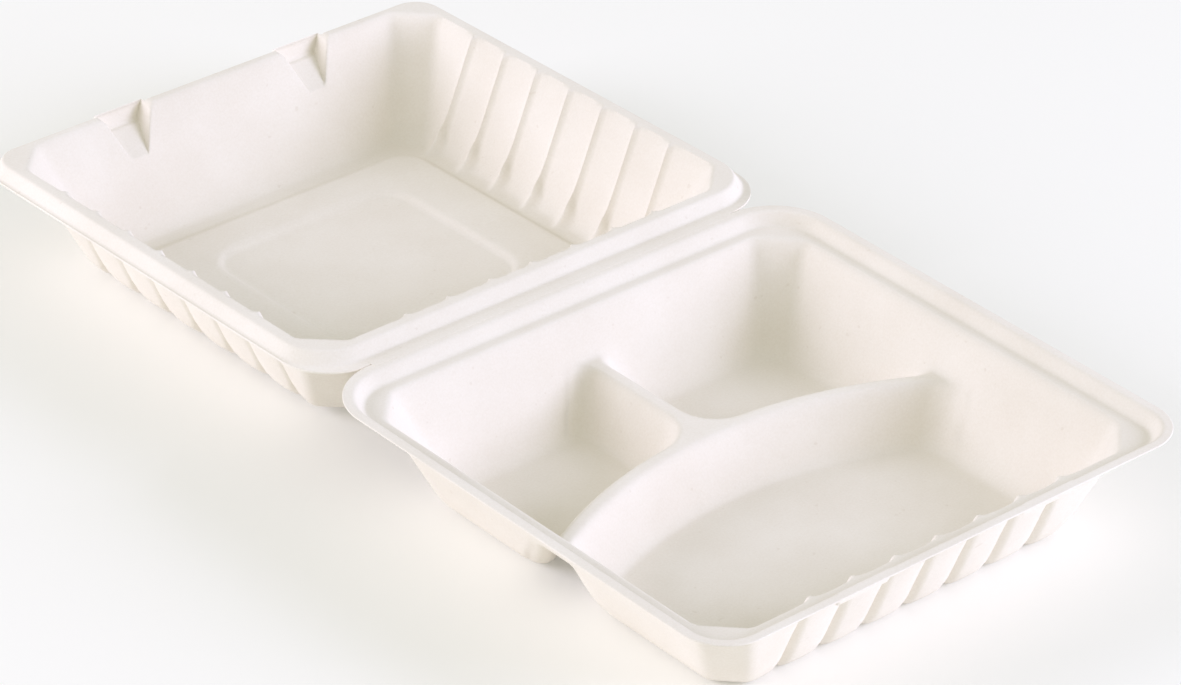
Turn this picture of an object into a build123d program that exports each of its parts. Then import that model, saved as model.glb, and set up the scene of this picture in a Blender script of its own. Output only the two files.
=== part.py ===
from build123d import *
import os
from math import asin, atan2, cos, degrees, radians, sin, sqrt, tan

# Driving dimensions, in millimetres and degrees

# pulp sheet
pulp = 0.8                  # thickness of the moulded wall
wall_draft = 25.5           # lean of the side walls from the vertical
wall_round = 7.0            # inside radius where walls and floor meet
front_draft = 21.5          # lean of the tray's fluted front wall

# tray rim
tray_width = 230.0          # across the fold
tray_reach = 221.5          # fold line to the front edge
flange_width = 3.9          # flat trim round the tray
fold_flange = 4.3           # fold line to the tray's recess
front_corner = 19.0         # plan radius of the rim corners at the front
fold_corner = 26.0          # plan radius of the rim corners beside the fold
recess_depth = 5.1          # rim down to the ledge that takes the lid
recess_run = 3.3            # level run of the recess's sloping side
ledge_width = 5.2           # level ledge round the compartments

# tray compartments
tray_depth = 44.4           # rim down to the floor
corner_cut_top = 14.0       # leg of the flat corner facets at the ledge
corner_cut_floor = 10.0     # and at the floor
divider_depth = 22.0        # rim down to the dividers' crest
divider_width = 6.4         # across the crest before its edges are rounded
divider_draft = 22.0        # lean of the dividers' sides
divider_edge = 3.4          # radius along the crest
divider_arc = 182.0         # plan radius of the long divider
divider_apex = 86.8         # fold line to the long divider's nearest point
junction_round = 17.0       # plan radius where the short divider runs into the long one

# lid
lid_depth = 40.5            # rim down to the lid's floor
nest_gap = 0.5              # level play between the lid's crest and the tray's recess
lid_flange = 1.0            # flat trim round the lid
crest_width = 2.6           # level top of the lid's rim
fold_lift = 0.15            # height of the fold axis above the rim
fold_gap = 0.3              # score between the two halves, lid side
plateau_rise = 1.8          # middle of the lid's floor above its gutter
plateau_width = 140.0       # along the fold
plateau_length = 124.0
plateau_corner = 10.0
plateau_middle = 114.0      # fold line to the middle of the plateau
plateau_run = 3.0           # level run of its sides
panel_drop = 1.8            # sunk panel in the plateau
panel_width = 96.0
panel_length = 92.0
panel_corner = 16.0
panel_run = 3.5             # level run of the panel's soft edge

# flutes, narrow V-shaped folds that stiffen the walls
flute_pitch = 20.2
flute_slope = 50.2          # lean of a flute's two sides from its middle
flute_depth = 3.0           # at the floor
flute_top = 1.2             # and at the mouth
flute_count = 7
side_flute_middle = 114.0   # fold line to the middle flute of the lid's sides
flute_run = 5.0             # how far the cutting shape stands out of the wall

# lock pockets in the lid's front wall
pocket_spread = 89.0        # between the two
pocket_top = 23.0           # width at the rim
pocket_tip = 8.0            # width at the lower end
pocket_height = 17.5        # crest down to the lower end
pocket_step = 6.8           # crest down to the top of the ramp
pocket_lip = 0.9            # crest down to the pocket's outer edge
pocket_wall = 1.6           # pressed double wall at the pocket's outer edge
pocket_play = 0.5           # play of a pocket in its socket in the tray's rim

# cutting shapes
overrun = 1.0               # how far a cut runs past the face it opens
reach_past = 30.0           # and past a whole wall
sharp_angle = 8.0           # edges that turn by less are left as they are

# Values that follow

wall_lean = tan(radians(wall_draft))
half_width = tray_width / 2
ledge = -recess_depth
tray_floor = -tray_depth
lid_floor = -lid_depth
crest = recess_depth


def rounded_outline(half, fold, front, fold_radius, front_radius, level):
    # plan of a rim, square to the fold, with larger corners beside it
    span = Rectangle(2 * half, front - fold)
    outline = Pos(0, -(front + fold) / 2) * span
    beside_fold = outline.vertices().group_by(Axis.Y)[-1]
    outline = fillet(beside_fold, fold_radius)
    at_front = outline.vertices().group_by(Axis.Y)[0]
    outline = fillet(at_front, front_radius)
    return Pos(0, 0, level) * outline


class Hollow:
    # the drafted inside of a half, or with grow its outside, one wall thickness further out
    def __init__(self, half, fold, front, mouth, floor, front_lean):
        self.half = half
        self.fold = fold
        self.front = front
        self.mouth = mouth
        self.floor = floor
        self.front_lean = front_lean

    def corners(self, level, grow):
        # plan of the walls at a level, with a flat facet across each corner
        drop = self.mouth - level
        out = grow / cos(radians(wall_draft))
        front_out = grow / cos(radians(self.front_lean))
        half = self.half - drop * tan(radians(wall_draft)) + out
        fold = -self.fold - drop * tan(radians(wall_draft)) + out
        front = -self.front + drop * tan(radians(self.front_lean)) - front_out
        share = drop / (self.mouth - self.floor)
        cut = corner_cut_top + (corner_cut_floor - corner_cut_top) * share + out * (2 - sqrt(2))
        right = [(half - cut, front), (half, front + cut), (half, fold - cut), (half - cut, fold)]
        left = [(-x, y) for x, y in reversed(right)]
        return [Vector(x, y, level) for x, y in right + left]

    def solid(self, top, bottom, grow=0.0):
        low = self.corners(bottom, grow)
        high = self.corners(top, grow)
        sides = [[low[i - 1], low[i], high[i], high[i - 1]] for i in range(len(low))]
        return Solid(Shell([Face(Wire.make_polygon(ring)) for ring in [low, high] + sides]))

    def wall(self, toward, distance, lean, along):
        # plane on the outside of a wall: Z up its slope, Y inward, X level
        up = Vector(0, 0, cos(radians(lean))) + toward * sin(radians(lean))
        place = toward * (distance + pulp / cos(radians(lean))) + Vector(0, along, self.mouth)
        return Plane(place, x_dir=Vector(0, 0, 1).cross(toward), z_dir=up)

    def front_wall(self):
        return self.wall(Vector(0, -1, 0), self.front, self.front_lean, 0)

    def fold_wall(self):
        return self.wall(Vector(0, 1, 0), -self.fold, wall_draft, 0)

    def side_wall(self, side):
        return self.wall(Vector(side, 0, 0), self.half, wall_draft, -side_flute_middle)


def meets_at_angle(solid, edge):
    sides = [face for face in solid.faces() if any(edge.is_same(other) for other in face.edges())]
    middle = edge.position_at(0.5)
    if len(sides) != 2:
        return False
    return sides[0].normal_at(middle).get_angle(sides[1].normal_at(middle)) > sharp_angle


def soften(solid, radius, below):
    # round every sharp edge that lies wholly under a level
    chosen = [e for e in solid.edges() if e.bounding_box().max.Z < below and meets_at_angle(solid, e)]
    return solid.fillet(radius, chosen)


def divider(thinner):
    # the two dividers as one ridge; thinner gives the hollow under it
    top = -divider_depth - thinner
    foot = tray_floor - pulp - overrun
    lean = tan(radians(divider_draft))
    top_half = divider_width / 2 + thinner * lean - thinner / cos(radians(divider_draft))
    foot_half = top_half + (top - foot) * lean
    corners = [(-foot_half, foot), (foot_half, foot), (top_half, top), (-top_half, top)]
    section = make_face(Polyline(*corners, close=True))
    middle = -divider_apex - divider_arc
    far_side = Plane((0, middle - divider_arc, 0), x_dir=(0, 1, 0), z_dir=(1, 0, 0))
    ridge = revolve(far_side * section, Axis((0, middle, 0), (0, 0, 1)))
    across = Plane((0, -divider_apex, 0), x_dir=(-1, 0, 0), z_dir=(0, 1, 0))
    ridge += extrude(across * section, amount=divider_apex + reach_past)
    # rounded inside corners, each a cone whose axis stands level with both dividers' middles
    aside = junction_round + divider_width / 2
    ahead = sqrt((divider_arc + aside) ** 2 - aside ** 2)
    share = divider_arc / (divider_arc + aside)
    for side in (-1, 1):
        hub = (side * aside, middle + ahead)
        on_arc = (side * aside * share, middle + ahead * share)
        plan = make_face(Polyline(hub, (0, hub[1]), (0, -divider_apex), on_arc, close=True))
        corner = extrude(Pos(0, 0, foot) * plan, amount=top - foot, dir=(0, 0, 1))
        round_out = Cone(aside - foot_half, aside - top_half, top - foot)
        ridge += corner - Pos(hub[0], hub[1], (top + foot) / 2) * round_out
    return ridge


def flute(wall, place, thicker, height):
    # one narrow fold that deepens from the mouth to the floor
    lean = radians(flute_slope)
    tip = flute_top + thicker / sin(lean)
    mouth_half = (tip + flute_run) * tan(lean)
    corners = [(-mouth_half, -flute_run), (mouth_half, -flute_run), (0, tip)]
    section = make_face(Polyline(*corners, close=True))
    upward = wall.z_dir * height + wall.y_dir * (flute_top - flute_depth)
    section = wall * Pos(place, 0, 0) * section
    return extrude(section, amount=2 * tray_depth, dir=upward.normalized(), both=True)


def flutes(wall, thicker, hollow):
    # wall is a plane on the outside of a wall, its Z up the slope and its Y inward
    last = (flute_count - 1) / 2
    height = (hollow.mouth - hollow.floor) / wall.z_dir.Z
    return [flute(wall, flute_pitch * (i - last), thicker, height) for i in range(flute_count)]


# Tray

recess_inset = flange_width + recess_run
ledge_inset = recess_inset + ledge_width
slope_lean = recess_run / recess_depth
slope_skin = pulp * sqrt(1 + slope_lean * slope_lean)


def rim(inset, level):
    # plan of the tray's rim brought in by an inset
    shift = inset - flange_width
    return rounded_outline(half_width - inset, fold_flange + shift, tray_reach - inset,
                           fold_corner - inset, front_corner - inset, level)


def recess(bottom, top, grow):
    # the sloping recess between two levels
    low = flange_width - slope_lean * bottom - grow
    high = flange_width - slope_lean * top - grow
    return loft([rim(low, bottom), rim(high, top)], ruled=True)


tray_hollow = Hollow(half_width - ledge_inset, fold_flange + recess_run + ledge_width,
                     tray_reach - ledge_inset, ledge, tray_floor, front_draft)

crests = divider(0)
crests = fillet(crests.edges().group_by(Axis.Z)[-1], divider_edge)
tray_inside = soften(tray_hollow.solid(ledge + overrun, tray_floor) - crests, wall_round, ledge)
tray_inside -= flutes(tray_hollow.front_wall(), pulp, tray_hollow)
tray_outside = tray_hollow.solid(ledge - pulp / 2, tray_floor - pulp, pulp)
tray_outside = soften(tray_outside, wall_round + pulp, ledge - pulp)
tray_outside -= [divider(pulp)] + flutes(tray_hollow.front_wall(), 0, tray_hollow)


def socket(side, grow):
    # upright bay in the front of the recess that takes a lock pocket of the lid
    half = pocket_top / 2 + pulp + pocket_play + grow
    out = tray_reach - flange_width - nest_gap + pocket_play + grow
    back = tray_reach - ledge_inset
    bottom = ledge - grow
    top = 0 if grow else overrun
    bay = Pos(side * pocket_spread / 2, -(out + back) / 2, (top + bottom) / 2)
    return bay * Box(2 * half, out - back, top - bottom)


tray_flange = rounded_outline(half_width, 0, tray_reach, fold_corner, front_corner, -pulp)
tray = extrude(tray_flange, amount=pulp) + recess(ledge - pulp, 0, slope_skin) + tray_outside
tray += [socket(side, pulp) for side in (-1, 1)]
tray = tray - recess(ledge, overrun, 0) - tray_inside - [socket(side, 0) for side in (-1, 1)]


# Lid, built over the tray's place and turned about the fold afterwards

crest_inset = recess_inset + nest_gap
mouth_inset = crest_inset + crest_width


def hat(bottom, top, shrink):
    # the rising rim between two levels
    low = crest_inset - slope_lean * (crest - bottom) + shrink
    high = crest_inset - slope_lean * (crest - top) + shrink
    return loft([rim(low, bottom), rim(high, top)], ruled=True)


def floor_pad(width, length, corner, run, foot, top):
    # low frustum in the middle of the lid's floor, drawn by its top
    upper = Pos(0, -plateau_middle, top) * RectangleRounded(width, length, corner)
    spread = RectangleRounded(width + 2 * run, length + 2 * run, corner + run)
    return loft([Pos(0, -plateau_middle, foot) * spread, upper], ruled=True)


def floor_relief(solid, floor):
    # raise the plateau and sink the panel in it
    top = floor + plateau_rise
    solid -= floor_pad(plateau_width, plateau_length, plateau_corner, plateau_run, floor, top)
    return solid + floor_pad(panel_width, panel_length, panel_corner, -panel_run, top - panel_drop, top)


def pocket_section(grow):
    # side view of a lock pocket, from the wall's inside out to its edge
    edge = tray_reach - flange_width - nest_gap
    foot = (lid_hollow.front - pocket_height * wall_lean, crest - pocket_height)
    heel = (edge - pocket_wall, crest - pocket_step)
    ramp = atan2(heel[1] - foot[1], heel[0] - foot[0])
    drop = grow / cos(ramp)
    out = edge if grow else edge - pocket_wall
    bend = heel[1] - drop + (out - heel[0]) * tan(ramp)
    top = crest - pocket_lip if grow else crest + overrun
    back = foot[0] - reach_past
    return [(-back, foot[1] - drop - reach_past * tan(ramp)), (-out, bend), (-out, top), (-back, top)]


def pocket(side, grow):
    along = Plane((0, 0, 0), x_dir=(0, 1, 0), z_dir=(1, 0, 0))
    section = make_face(Polyline(*pocket_section(grow), close=True))
    profile = extrude(along * section, amount=half_width, both=True)
    top_half = pocket_top / 2 + grow
    tip_half = pocket_tip / 2 + grow
    spread = (top_half - tip_half) / pocket_height
    low = crest - pocket_height - pocket_tip / 2
    high = crest + overrun
    low_half = tip_half - spread * (crest - pocket_height - low)
    high_half = top_half + spread * (high - crest)
    corners = [(-low_half, low), (low_half, low), (high_half, high), (-high_half, high)]
    upright = Plane((side * pocket_spread / 2, 0, 0), x_dir=(1, 0, 0), z_dir=(0, -1, 0))
    front = extrude(upright * make_face(Polyline(*corners, close=True)), amount=tray_reach)
    return profile & front


lid_hollow = Hollow(half_width - mouth_inset, fold_flange + mouth_inset - flange_width,
                    tray_reach - mouth_inset, crest, lid_floor, wall_draft)

lid_inside = soften(lid_hollow.solid(crest + overrun, lid_floor), wall_round, crest)
lid_outside = lid_hollow.solid(crest - pulp / 2, lid_floor - pulp, pulp)
lid_outside = soften(lid_outside, wall_round + pulp, crest - pulp)
lid_inside = floor_relief(lid_inside, lid_floor)
lid_outside = floor_relief(lid_outside, lid_floor - pulp)
for wall in (lid_hollow.fold_wall(), lid_hollow.side_wall(1), lid_hollow.side_wall(-1)):
    lid_inside -= flutes(wall, pulp, lid_hollow)
    lid_outside -= flutes(wall, 0, lid_hollow)

lid_trim = flange_width + nest_gap - lid_flange
lid_flange_plan = rounded_outline(half_width - lid_trim, fold_gap, tray_reach - lid_trim,
                                  fold_corner - lid_trim, front_corner - lid_trim, -pulp)
lid = extrude(lid_flange_plan, amount=pulp) + hat(-pulp, crest, 0)
lid = lid - hat(-2 * pulp, crest - pulp, slope_skin) + lid_outside
lid += [pocket(side, pulp) for side in (-1, 1)]
lid = lid - lid_inside - [pocket(side, 0) for side in (-1, 1)]


# Open on a table: the lid droops from the fold until the front of its floor touches down

floor_setback = (wall_round + pulp) * tan(radians(90 - wall_draft) / 2)
wall_skin = pulp / cos(radians(wall_draft))
lid_foot = lid_hollow.front - (crest - lid_floor + pulp) * wall_lean + wall_skin - floor_setback
droop = degrees(asin((tray_depth - lid_depth) / lid_foot))
fold_axis = Axis((0, 0, fold_lift), (1, 0, 0))
lid = lid.rotate(Axis.Z, 180).rotate(fold_axis, -droop)

open_length = tray_reach + lid.bounding_box().max.Y
fold_place = Pos(0, tray_reach - open_length / 2, tray_depth + pulp)

os.makedirs("parts", exist_ok=True)
export_step(fold_place * tray, "parts/base_tray.step")
export_step(fold_place * lid, "parts/lid.step")
print("fold axis at", fold_place.position + Vector(0, 0, fold_lift), "closes after", 180 + droop, "degrees")
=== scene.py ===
import math

import bmesh
import bpy
from mathutils import Matrix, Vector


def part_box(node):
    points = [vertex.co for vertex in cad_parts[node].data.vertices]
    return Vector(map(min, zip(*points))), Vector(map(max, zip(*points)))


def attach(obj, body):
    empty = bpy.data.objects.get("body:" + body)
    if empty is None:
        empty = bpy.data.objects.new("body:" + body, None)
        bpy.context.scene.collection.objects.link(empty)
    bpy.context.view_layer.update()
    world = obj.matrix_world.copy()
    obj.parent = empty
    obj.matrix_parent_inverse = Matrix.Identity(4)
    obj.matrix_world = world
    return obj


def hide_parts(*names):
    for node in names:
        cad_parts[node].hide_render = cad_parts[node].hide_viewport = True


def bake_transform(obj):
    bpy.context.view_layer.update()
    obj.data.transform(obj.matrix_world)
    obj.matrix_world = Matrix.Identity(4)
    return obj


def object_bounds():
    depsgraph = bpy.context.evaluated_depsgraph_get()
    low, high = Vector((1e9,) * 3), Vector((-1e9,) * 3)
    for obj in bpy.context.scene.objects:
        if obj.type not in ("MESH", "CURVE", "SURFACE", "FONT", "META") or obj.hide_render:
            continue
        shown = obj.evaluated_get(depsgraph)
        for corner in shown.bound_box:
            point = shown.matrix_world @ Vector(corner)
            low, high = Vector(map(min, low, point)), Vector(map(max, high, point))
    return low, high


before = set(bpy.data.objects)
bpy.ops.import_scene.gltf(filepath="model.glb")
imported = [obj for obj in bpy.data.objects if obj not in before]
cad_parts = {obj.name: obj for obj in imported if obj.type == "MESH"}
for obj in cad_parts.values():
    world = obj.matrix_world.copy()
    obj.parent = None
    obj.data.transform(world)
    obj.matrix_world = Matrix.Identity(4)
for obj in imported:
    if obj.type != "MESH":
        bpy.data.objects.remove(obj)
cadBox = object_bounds()
print("frame loaded:", ", ".join(sorted(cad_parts)))

mm = 0.001
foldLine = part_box("base_tray")[1].y   # the tray ends here and the lid begins
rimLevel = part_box("base_tray")[1].z   # top of the tray's flange


# soft joins between two heights, the way wet pulp takes them in the mould

def softMax(a, b, blend):
    near = max(blend - abs(a - b), 0.0)
    return max(a, b) + near * near / (4 * blend)


def softMin(a, b, blend):
    return -softMax(-a, -b, blend)


def mix(a, b, share):
    return a + (b - a) * share


def easeStep(value, start, end):
    share = max(0.0, min(1.0, (value - start) / (end - start)))
    return share * share * (3 - 2 * share)


def leanOf(draft):
    return math.tan(math.radians(draft))


# rim shared by both halves: mm, fold along y 0, front towards minus y, rim at z 0

rimForm = {
    "half": 115.0,
    "fold": 0.4,
    "front": 221.5,
    "foldCorner": 26.0,
    "frontCorner": 19.0,
    "rise": 5.1,        # how deep the recess is and how high the lid's crest stands
    "run": 3.3,         # level run of that slope
    "lip": 1.5,         # softness of the slope's two edges
    "steep": 8.0,       # rise over run of the nearly upright faces at the lock pockets
}


def rimInset(x, y):
    # how far a point lies inside the tray's outline
    across = rimForm["half"] - abs(x)
    toFold = -rimForm["fold"] - y
    toFront = y + rimForm["front"]
    corner = rimForm["foldCorner"] if toFold < toFront else rimForm["frontCorner"]
    ahead = min(toFold, toFront)
    if across < corner and ahead < corner:
        return corner - math.hypot(corner - across, corner - ahead)
    return min(across, ahead)


# walls, corner facets and floor of a half, with its flutes

fluteForm = {
    "pitch": 20.2,
    "count": 7,
    "nose": 0.45,       # rounding of a flute's top
    "foot": 0.7,        # softness where it leaves the wall
    "gather": 1.4,      # how closely the sheet's grid lines gather at a flute
}


def fluteRise(along, down, draft, flute):
    # what a flute adds to a wall's height, with a wider foot at the floor
    pitch = fluteForm["pitch"]
    nose = fluteForm["nose"]
    last = (fluteForm["count"] - 1) // 2
    nearest = max(-last, min(last, round(along / pitch)))
    off = math.hypot(along - nearest * pitch, nose) - nose
    lobe = max(0.0, 1 - 2 * off / pitch)   # panels between flutes bulge a little
    share = max(0.0, min(1.0, down)) ** flute["flare"]
    tip = mix(flute["top"], flute["floor"], share)
    slope = mix(flute["slope"], flute["footSlope"], share)
    stand = softMax(0.0, tip - off * slope, fluteForm["foot"])
    return (stand + flute["bulge"] * lobe * lobe) / math.sin(math.radians(draft))


def bowlHeight(x, y, form, floor):
    across = abs(x)
    mouth = form["mouth"]
    depth = mouth - form["floor"]
    flute = form["flute"]
    lean = leanOf(form["draft"])
    frontLean = leanOf(form["frontDraft"])
    side = mouth - (form["mouthHalf"] - across) / lean
    fold = mouth + (form["mouthFold"] + y) / lean
    front = mouth - (form["mouthFront"] + y) / frontLean
    if "side" in form["fluted"]:
        side += fluteRise(y + form["fluteMiddle"], (mouth - side) / depth, form["draft"], flute)
    if "fold" in form["fluted"]:
        fold += fluteRise(x, (mouth - fold) / depth, form["draft"], flute)
    if "front" in form["fluted"]:
        front += fluteRise(x, (mouth - front) / depth, form["frontDraft"], flute)
    taper = (form["cutTop"] - form["cutFloor"]) / depth
    toFold = form["mouthHalf"] - form["mouthFold"] - form["cutTop"] - across - y
    toFront = form["mouthHalf"] + form["mouthFront"] - form["cutTop"] - across + y
    foldFacet = mouth - toFold / (2 * lean - taper)
    frontFacet = mouth - toFront / (lean + frontLean - taper)
    wall = side
    for face in (fold, front, foldFacet, frontFacet):
        wall = softMax(wall, face, form["upright"])
    return softMax(floor, wall, form["floorRound"])


# tray

trayForm = {
    "half": 115.0,
    "fold": 0.0,
    "front": 221.5,
    "foldCorner": 26.0,
    "frontCorner": 19.0,
    # grid bands: where each ends, from the centre or the front edge, and its cell size
    "columns": ((70.7, 1.12), (84.0, 1.7), (103.5, 1.2), (115.0, 0.55)),
    "rows": ((13.0, 0.55), (31.0, 0.9), (94.0, 2.5), (150.0, 1.1), (186.0, 2.2),
             (208.0, 1.1), (221.5, 0.55)),
    "flange": 3.9,
    "draft": 24.5,
    "frontDraft": 21.5,
    "mouth": -5.1,      # the ledge round the compartments
    "mouthHalf": 102.6,
    "mouthFold": 12.8,
    "mouthFront": 209.1,
    "floor": -44.4,
    "cutTop": 14.0,     # leg of the corner facets at the mouth and at the floor
    "cutFloor": 10.0,
    "fluted": ("front",),
    "flute": {"top": 1.2, "floor": 2.7, "flare": 1.0, "slope": 0.9, "footSlope": 0.85, "bulge": 0.8},
    "upright": 4.0,     # softness between two walls
    "floorRound": 11.0,
    "mouthRound": 2.6,
    "socketAt": 44.5,   # bays in the front recess for the lid's lock pockets
    "socketHalf": 12.8,
    "socketEase": 0.6,
}

dividerForm = {
    "crest": -22.0,
    "half": 3.2,
    "draft": 22.0,
    "edge": 3.6,        # softness along the crest
    "foot": 7.3,        # softness where a side meets the floor
    "end": 3.0,         # and where the crest meets a wall
    "wallRound": 8.0,   # plan radius between a side and a wall
    "arc": 182.0,
    "apex": 86.8,       # fold line to the long divider
    "junction": 17.0,   # plan radius where the short one runs into it
}


def dividerOff(x, y):
    # plan distance from the middle of the nearer divider
    across = abs(x)
    middle = -dividerForm["apex"] - dividerForm["arc"]
    aside = dividerForm["junction"] + dividerForm["half"]
    ahead = math.sqrt((dividerForm["arc"] + aside) ** 2 - aside ** 2)
    beyond = math.hypot(x, y - middle) - dividerForm["arc"]
    off = abs(beyond)
    if y > -dividerForm["apex"]:
        off = min(off, across)
    between = y < middle + ahead and across * ahead < aside * (y - middle)
    if beyond > 0 and between:   # rounded inside corner
        off = min(off, max(0.0, aside - math.hypot(across - aside, y - middle - ahead)))
    return off


def dividerHeight(x, y):
    lean = leanOf(dividerForm["draft"])
    wallLean = leanOf(trayForm["draft"])
    toWall = min(trayForm["mouthHalf"] - abs(x), -trayForm["mouthFold"] - y)
    fromSide = dividerOff(x, y) - dividerForm["half"] - dividerForm["crest"] * lean
    fromWall = toWall - trayForm["mouth"] * wallLean
    height = -fromSide / lean
    # level where a round of that plan radius touches both the side and the wall
    radius = dividerForm["wallRound"]
    p = radius - fromSide
    q = radius - fromWall
    square = lean * lean + wallLean * wallLean
    mixed = p * lean + q * wallLean
    room = mixed * mixed - square * (p * p + q * q - radius * radius)
    if room > 0:
        level = (mixed - math.sqrt(room)) / square
        if p > level * lean and q > level * wallLean:
            height = level
    return softMin(dividerForm["crest"], height, dividerForm["edge"])


def trayMould(x, y):
    inset = rimInset(x, y)
    lip = rimForm["lip"]
    slope = (trayForm["flange"] - inset) * rimForm["rise"] / rimForm["run"]
    rim = softMax(softMin(0.0, slope, lip), -rimForm["rise"], lip)
    if y < -trayForm["mouthFront"]:
        upright = (trayForm["flange"] - inset) * rimForm["steep"]
        bay = softMax(softMin(0.0, upright, lip), -rimForm["rise"], lip)
        off = abs(abs(x) - trayForm["socketAt"]) - trayForm["socketHalf"]
        beside = easeStep(off, -trayForm["socketEase"], trayForm["socketEase"])
        rim = mix(rim, bay, 1 - beside)
    hollow = bowlHeight(x, y, trayForm, trayForm["floor"])
    ridge = dividerHeight(x, y)
    climb = (ridge - trayForm["floor"]) / (dividerForm["crest"] - trayForm["floor"])
    blend = mix(dividerForm["foot"], dividerForm["end"], max(0.0, climb))
    return softMin(rim, softMax(hollow, ridge, blend), trayForm["mouthRound"])


# lid

lidForm = {
    "half": 111.6,
    "fold": 0.3,
    "front": 218.1,
    "foldCorner": 22.6,
    "frontCorner": 15.6,
    "columns": ((70.7, 1.18), (84.0, 1.5), (104.0, 1.1), (111.6, 0.5)),
    "rows": ((16.0, 0.5), (36.4, 1.1), (177.8, 1.44), (207.0, 1.1), (217.8, 0.5)),
    "crestFoot": 4.4,   # rim inset where the crest rises
    "draft": 23.0,
    "frontDraft": 23.5,
    "mouth": 5.1,       # level of the crest
    "mouthHalf": 102.6,
    "mouthFold": 12.6,
    "mouthFront": 209.8,
    "floor": -40.5,
    "cutTop": 14.0,
    "cutFloor": 10.0,
    "fluted": ("fold", "side"),
    "fluteMiddle": 111.0,   # fold line to the middle flute of the sides
    "flute": {"top": 1.1, "floor": 3.0, "flare": 8.0, "slope": 1.25, "footSlope": 0.8, "bulge": 0.7},
    "upright": 4.0,
    "floorRound": 11.0,
    "mouthRound": 1.2,
    "frontRound": 2.6,  # the mouth is softer along the front
    "frontZone": 20.0,  # how far behind the front mouth that begins, and where it is complete
    "frontEase": 5.0,
    "lip": 0.9,         # softness of the crest's outer edge
    "droop": 1.2077,    # degrees, the lid leans on the table
    "foldLift": 0.15,   # fold axis above the rim
}

reliefForm = {
    "middle": 114.0,    # fold line to the middle of the floor's relief
    "rise": 1.8,
    "plateau": (70.0, 62.0, 10.0, 3.0),   # half width, half length, corner, run of its edge
    "panel": (44.5, 42.5, 12.5, 2.7),
}

pocketForm = {
    "at": 44.5,
    "half": 11.5,       # at the crest
    "tipHalf": 4.0,
    "height": 17.5,
    "step": 6.8,        # crest down to the top of the ramp
    "edge": 217.1,
    "wall": 1.6,
    "lip": 0.9,         # crest down to the outer edge
    "soft": 0.5,
    "ease": 1.2,        # how soon the crest takes its own form again beside a pocket
    "groove": 0.7,      # dip along the heel of the ramp
    "grooveWide": 0.9,
    "fine": (14.0, 19.0),   # half width and depth of the area with a finer grid
}


def padShare(x, y, pad):
    # one on a rounded pad, easing to nothing over its run
    half, length, corner, run = pad
    outX = max(abs(x) - half + corner, 0.0)
    outY = max(abs(y + reliefForm["middle"]) - length + corner, 0.0)
    return 1 - easeStep(math.hypot(outX, outY) - corner, 0.0, run)


def nearPocket(x, y):
    half, depth = pocketForm["fine"]
    return abs(abs(x) - pocketForm["at"]) < half and y < depth - pocketForm["edge"]


def pocketHeight(off, y):
    tip = lidForm["mouth"] - pocketForm["height"]
    heel = lidForm["mouth"] - pocketForm["step"]
    heelAt = pocketForm["edge"] - pocketForm["wall"]
    tipAt = lidForm["mouthFront"] - pocketForm["height"] * leanOf(lidForm["frontDraft"])
    ramp = tip + (-y - tipAt) * (heel - tip) / (heelAt - tipAt)
    behind = (-y - heelAt + pocketForm["grooveWide"]) / pocketForm["grooveWide"]
    ramp -= pocketForm["groove"] * math.exp(-behind * behind)
    outer = heel + (-y - heelAt) * rimForm["steep"]
    sideSlope = pocketForm["height"] / (pocketForm["half"] - pocketForm["tipHalf"])
    side = tip + (off - pocketForm["tipHalf"]) * sideSlope
    return softMax(softMax(ramp, outer, pocketForm["soft"]), side, pocketForm["soft"])


def lidMould(x, y):
    inset = rimInset(x, y)
    lip = lidForm["lip"]
    slope = (inset - lidForm["crestFoot"]) * rimForm["rise"] / rimForm["run"]
    crest = softMin(softMax(0.0, slope, lip), rimForm["rise"], lip)
    off = abs(abs(x) - pocketForm["at"])
    zone = lidForm["mouthFront"] - lidForm["frontZone"]
    if -y > zone:
        upright = (pocketForm["edge"] + y) * rimForm["steep"]
        edge = softMax(0.0, softMin(lidForm["mouth"] - pocketForm["lip"], upright, lip), lip)
        beside = easeStep(off, pocketForm["half"], pocketForm["half"] + pocketForm["ease"])
        crest = mix(crest, edge, 1 - beside)
    relief = padShare(x, y, reliefForm["plateau"]) - padShare(x, y, reliefForm["panel"])
    floor = lidForm["floor"] + reliefForm["rise"] * relief
    softer = easeStep(-y, zone, lidForm["mouthFront"] - lidForm["frontEase"])
    mouthRound = mix(lidForm["mouthRound"], lidForm["frontRound"], softer)
    height = softMin(crest, bowlHeight(x, y, lidForm, floor), mouthRound)
    if -y > zone:
        height = softMin(height, pocketHeight(off, y), pocketForm["soft"])
    return height


# pressing a sheet: a graded grid, rounded at the corners, laid on a mould and given its thickness

sheetForm = {
    "thick": 0.8,
    "edgeRound": 0.28,
    "edgeSteps": 2,
    "upright": 0.02,    # the trimmed edge stands this straight
    "sharp": math.radians(50),
}


def graded(start, bands):
    lines = [start]
    for end, cell in bands:
        first = lines[-1]
        count = round((end - (first - start)) / cell)
        lines += [first + (start + end - first) * (i + 1) / count for i in range(count)]
    return lines


def gather(line, middle):
    # grid lines crowd towards the flutes, where the sheet turns sharply
    half = fluteForm["pitch"] / 2
    if abs(line - middle) > fluteForm["count"] * half:
        return line
    flute = middle + fluteForm["pitch"] * round((line - middle) / fluteForm["pitch"])
    off = line - flute
    return flute + math.copysign(half * (abs(off) / half) ** fluteForm["gather"], off)


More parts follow.
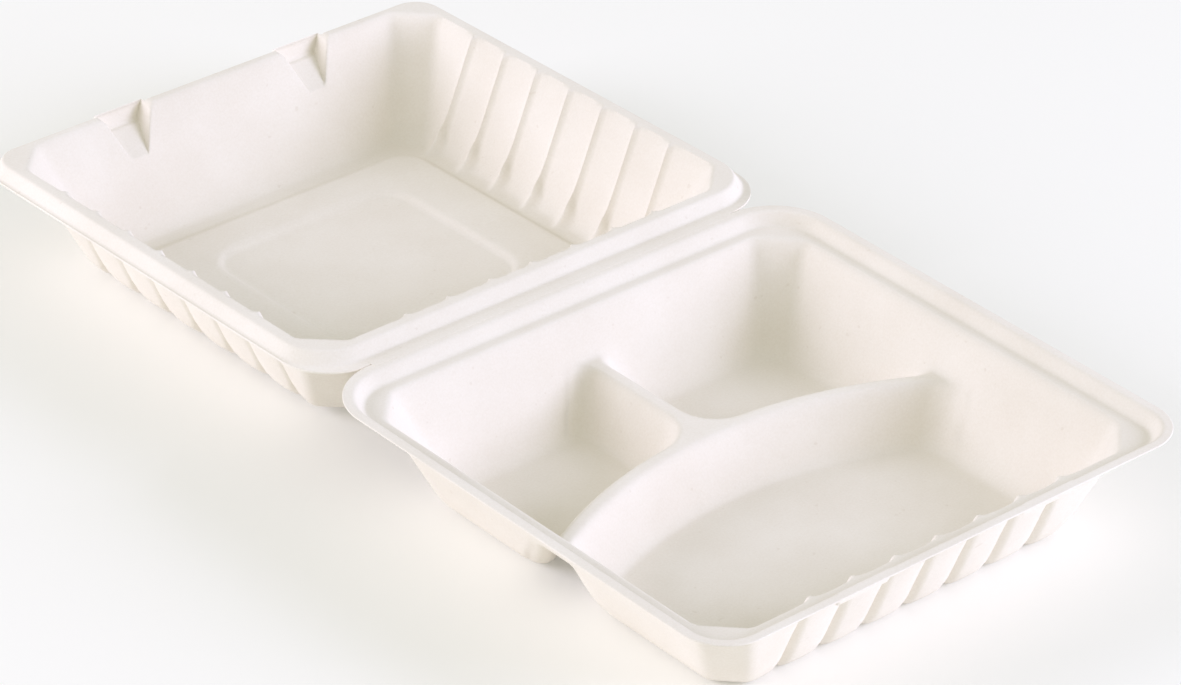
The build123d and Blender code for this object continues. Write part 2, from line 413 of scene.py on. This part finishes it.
def easeCorners(x, y, form):
    # grid lines bend round the outline's corners
    toFold = -form["fold"] - y
    toFront = y + form["front"]
    corner = form["foldCorner"] if toFold < toFront else form["frontCorner"]
    u = corner - form["half"] + abs(x)
    v = corner - min(toFold, toFront)
    if u <= 0 or v <= 0:
        return x, y
    ring = max(u, v)
    turn = v / u * math.pi / 4 if u >= v else math.pi / 2 - u / v * math.pi / 4
    moveX = ring * math.cos(turn) - u
    moveY = ring * math.sin(turn) - v
    return x + math.copysign(1, x) * moveX, y + (moveY if toFold < toFront else -moveY)


def pressSheet(form, mould, isFine=None):
    halfLines = graded(0.0, form["columns"])
    columns = [-x for x in reversed(halfLines[1:])] + halfLines
    columns = [gather(x, 0.0) for x in columns]
    rows = graded(-form["front"], form["rows"])
    if "side" in form["fluted"]:
        rows = [gather(y, -form["fluteMiddle"]) for y in rows]
    wide = len(columns) - 1
    deep = len(rows) - 1
    bm = bmesh.new()
    bmesh.ops.create_grid(bm, x_segments=wide, y_segments=deep, size=0.5)
    for v in bm.verts:
        x = columns[round((v.co.x + 0.5) * wide)]
        y = rows[round((v.co.y + 0.5) * deep)]
        x, y = easeCorners(x, y, form)
        v.co = (x, y, 0)
    if isFine:
        fineVerts = set(v for v in bm.verts if isFine(v.co.x, v.co.y))
        fineEdges = [e for e in bm.edges if fineVerts.issuperset(e.verts)]
        bmesh.ops.subdivide_edges(bm, edges=fineEdges, cuts=1, use_grid_fill=True)
    for v in bm.verts:
        v.co.z = mould(v.co.x, v.co.y)
    return bm


def thicken(bm):
    bmesh.ops.recalc_face_normals(bm, faces=bm.faces)
    bmesh.ops.solidify(bm, geom=bm.faces[:], thickness=sheetForm["thick"])
    bm.normal_update()
    rimFaces = set(f for f in bm.faces if abs(f.normal.z) < sheetForm["upright"])
    cut = [e for e in bm.edges if len(rimFaces.intersection(e.link_faces)) == 1]
    bmesh.ops.bevel(bm, geom=cut, offset=sheetForm["edgeRound"], offset_type="OFFSET",
                    segments=sheetForm["edgeSteps"], profile=0.5, affect="EDGES",
                    clamp_overlap=True, material=-1)
    print("cut edges eased:", len(cut))


def intoPlace(bm):
    # from mm about the fold line to the frame's metres
    bmesh.ops.translate(bm, vec=(0, foldLine / mm, rimLevel / mm), verts=bm.verts)
    bmesh.ops.scale(bm, vec=(mm, mm, mm), verts=bm.verts)


def meshObject(bm, name, material):
    mesh = bpy.data.meshes.new(name)
    bm.to_mesh(mesh)
    bm.free()
    mesh.materials.append(material)
    obj = bpy.data.objects.new(name, mesh)
    bpy.context.scene.collection.objects.link(obj)
    return obj


def pulpObject(bm, name):
    obj = meshObject(bm, name, pulp)
    obj.data.shade_smooth()
    obj.data.set_sharp_from_angle(angle=sheetForm["sharp"])
    print(name, len(obj.data.polygons), "faces")
    return obj


def finishShell(bm, name, node, body):
    shell = pulpObject(bm, name)
    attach(shell, body)
    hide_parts(node)


# pulp

pulpLook = {
    "pale": (0.855, 0.80, 0.70, 1.0),     # between the fibres
    "bright": (0.92, 0.875, 0.79, 1.0),   # pressed fibre on top
    "toneSpan": (0.35, 0.65),   # noise values where the two stand
    "fibreScale": 1100.0,
    "fibreDetail": 4.0,
    "fibreRough": 0.6,
    "cloudScale": 26.0,
    "cloudDetail": 5.0,
    "fibreShare": 0.45,         # of fibre in the tone, the rest is cloud
    "fleck": (0.74, 0.67, 0.56, 1.0),     # stray darker cane fibre
    "fleckScale": 300.0,
    "fleckDetail": 1.0,
    "fleckSpan": (0.74, 0.80),  # only the noise's peaks show
    "fleckDepth": 0.35,
    "roughSpan": (0.78, 0.95),
    "gloss": 0.25,
    "bump": 0.12,
    "bumpHeight": 0.3,          # mm
}


def pulpMaterial(look):
    mat = bpy.data.materials.new("pulp")
    mat.use_nodes = True
    nodes = mat.node_tree.nodes
    links = mat.node_tree.links
    bsdf = nodes["Principled BSDF"]
    place = nodes.new("ShaderNodeTexCoord")

    def noise(scale, detail):
        node = nodes.new("ShaderNodeTexNoise")
        node.inputs["Scale"].default_value = scale
        node.inputs["Detail"].default_value = detail
        links.new(place.outputs["Object"], node.inputs["Vector"])
        return node

    fibre = noise(look["fibreScale"], look["fibreDetail"])
    fibre.inputs["Roughness"].default_value = look["fibreRough"]
    cloud = noise(look["cloudScale"], look["cloudDetail"])
    both = nodes.new("ShaderNodeMix")
    both.inputs["Factor"].default_value = look["fibreShare"]
    links.new(cloud.outputs["Fac"], both.inputs["A"])
    links.new(fibre.outputs["Fac"], both.inputs["B"])

    tone = nodes.new("ShaderNodeValToRGB")
    low, high = tone.color_ramp.elements
    low.position, high.position = look["toneSpan"]
    low.color = look["pale"]
    high.color = look["bright"]
    links.new(both.outputs["Result"], tone.inputs["Fac"])

    fleck = noise(look["fleckScale"], look["fleckDetail"])
    few = nodes.new("ShaderNodeMapRange")
    few.inputs["From Min"].default_value = look["fleckSpan"][0]
    few.inputs["From Max"].default_value = look["fleckSpan"][1]
    few.inputs["To Max"].default_value = look["fleckDepth"]
    links.new(fleck.outputs["Fac"], few.inputs["Value"])

    stained = nodes.new("ShaderNodeMixRGB")
    stained.inputs["Color2"].default_value = look["fleck"]
    links.new(few.outputs["Result"], stained.inputs["Fac"])
    links.new(tone.outputs["Color"], stained.inputs["Color1"])
    links.new(stained.outputs["Color"], bsdf.inputs["Base Color"])

    rough = nodes.new("ShaderNodeMapRange")
    rough.inputs["To Min"].default_value = look["roughSpan"][0]
    rough.inputs["To Max"].default_value = look["roughSpan"][1]
    links.new(fibre.outputs["Fac"], rough.inputs["Value"])
    links.new(rough.outputs["Result"], bsdf.inputs["Roughness"])
    bsdf.inputs["Specular IOR Level"].default_value = look["gloss"]

    felt = nodes.new("ShaderNodeBump")
    felt.inputs["Strength"].default_value = look["bump"]
    felt.inputs["Distance"].default_value = look["bumpHeight"] * mm
    links.new(fibre.outputs["Fac"], felt.inputs["Height"])
    links.new(felt.outputs["Normal"], bsdf.inputs["Normal"])
    return mat


pulp = pulpMaterial(pulpLook)
print("pulp mixed")

trayMesh = pressSheet(trayForm, trayMould)
thicken(trayMesh)
intoPlace(trayMesh)
finishShell(trayMesh, "tray_shell", "base_tray", "tray")

# the lid is pressed like the tray, then turned about the fold and let down on the table
halfTurn = Matrix.Rotation(math.pi, 3, "Z")
droop = Matrix.Rotation(math.radians(-lidForm["droop"]), 3, "X")
foldAxis = (0, 0, lidForm["foldLift"])
lidMesh = pressSheet(lidForm, lidMould, nearPocket)
thicken(lidMesh)
bmesh.ops.rotate(lidMesh, cent=(0, 0, 0), matrix=halfTurn, verts=lidMesh.verts)
bmesh.ops.rotate(lidMesh, cent=foldAxis, matrix=droop, verts=lidMesh.verts)
intoPlace(lidMesh)
finishShell(lidMesh, "lid_shell", "lid", "lid")


# fold web: the thin pressed strip that joins tray and lid

webForm = {
    "half": 88.0,
    "onTray": 1.8,
    "onLid": 2.2,
    "cells": (44, 16),
    "lift": 0.10,       # above the flanges, less than half the gap when the box is shut
    "thick": 0.16,
    "bendTray": 0.5,    # the bend runs from here on the tray's side to here on the lid's
    "bendLid": 0.8,
}


def foldWeb(form):
    wide = form["onTray"] + form["onLid"]
    bm = bmesh.new()
    bmesh.ops.create_grid(bm, x_segments=form["cells"][0], y_segments=form["cells"][1], size=0.5)
    bmesh.ops.scale(bm, vec=(2 * form["half"], wide, 1), verts=bm.verts)
    bmesh.ops.translate(bm, vec=(0, wide / 2 - form["onTray"], form["lift"]), verts=bm.verts)
    bmesh.ops.solidify(bm, geom=bm.faces[:], thickness=form["thick"])
    onLid = [v for v in bm.verts if v.co.y > 0]
    bmesh.ops.rotate(bm, cent=foldAxis, matrix=droop, verts=onLid)
    intoPlace(bm)
    web = pulpObject(bm, "fold_web")
    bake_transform(web)


foldWeb(webForm)


# floor, light and camera

studio = {
    "floor": (0.86, 0.85, 0.795, 1.0),
    "floorSize": 6.0,
    "floorRough": 0.9,
    "glow": (1.0, 1.0, 1.0, 1.0),
    "floorGlow": 0.13,
    "world": 0.575,
    "sky": (0.985, 1.0, 0.90, 1.0),
    "right": {"power": 55.0, "size": 1.3, "from": (1.50, -1.85, 0.95), "tint": (0.69, 0.70, 1.0)},
    "left": {"power": 42.0, "size": 1.3, "from": (-1.95, 1.25, 0.95), "tint": (0.80, 0.775, 1.0)},
}


def softBox(name, spec, aim):
    data = bpy.data.lights.new(name, "AREA")
    data.energy = spec["power"]
    data.size = spec["size"]
    data.color = spec["tint"]
    lamp = bpy.data.objects.new(name, data)
    lamp.location = spec["from"]
    lamp.rotation_mode = "QUATERNION"
    lamp.rotation_quaternion = (aim - lamp.location).to_track_quat("-Z", "Y")
    bpy.context.scene.collection.objects.link(lamp)


def tableTop():
    mat = bpy.data.materials.new("table_top")
    mat.use_nodes = True
    bsdf = mat.node_tree.nodes["Principled BSDF"]
    bsdf.inputs["Base Color"].default_value = studio["floor"]
    bsdf.inputs["Roughness"].default_value = studio["floorRough"]
    bsdf.inputs["Emission Color"].default_value = studio["glow"]
    bsdf.inputs["Emission Strength"].default_value = studio["floorGlow"]
    bm = bmesh.new()
    bmesh.ops.create_grid(bm, x_segments=1, y_segments=1, size=studio["floorSize"])
    meshObject(bm, "table_top", mat)


tableTop()
centre = (cadBox[0] + cadBox[1]) / 2
for side in ("right", "left"):
    softBox(side, studio[side], centre)
world = bpy.data.worlds.new("studio")
world.use_nodes = True
background = world.node_tree.nodes["Background"]
background.inputs["Color"].default_value = studio["sky"]
background.inputs["Strength"].default_value = studio["world"]
bpy.context.scene.world = world
bpy.context.scene.view_settings.view_transform = "Standard"

camera = {
    "place": (-1.1091, -1.2922, 1.0573),
    "azimuth": -41.095,
    "elevation": 31.307,
    "roll": 1.065,
    "lens": 161.0,
    "sensor": 36.0,
    "shift": (-0.0023, 0.0005),
    "clip": (0.1, 50.0),
}


def photoCamera(spec):
    data = bpy.data.cameras.new("camera")
    data.lens = spec["lens"]
    data.sensor_width = spec["sensor"]
    data.shift_x, data.shift_y = spec["shift"]
    data.clip_start, data.clip_end = spec["clip"]
    cam = bpy.data.objects.new("camera", data)
    turn = Matrix.Rotation(math.radians(spec["azimuth"]), 4, "Z")
    tip = Matrix.Rotation(math.radians(90 - spec["elevation"]), 4, "X")
    roll = Matrix.Rotation(math.radians(spec["roll"]), 4, "Z")
    cam.matrix_world = Matrix.Translation(spec["place"]) @ turn @ tip @ roll
    bpy.context.scene.collection.objects.link(cam)
    bpy.context.scene.camera = cam


photoCamera(camera)
print("studio ready")
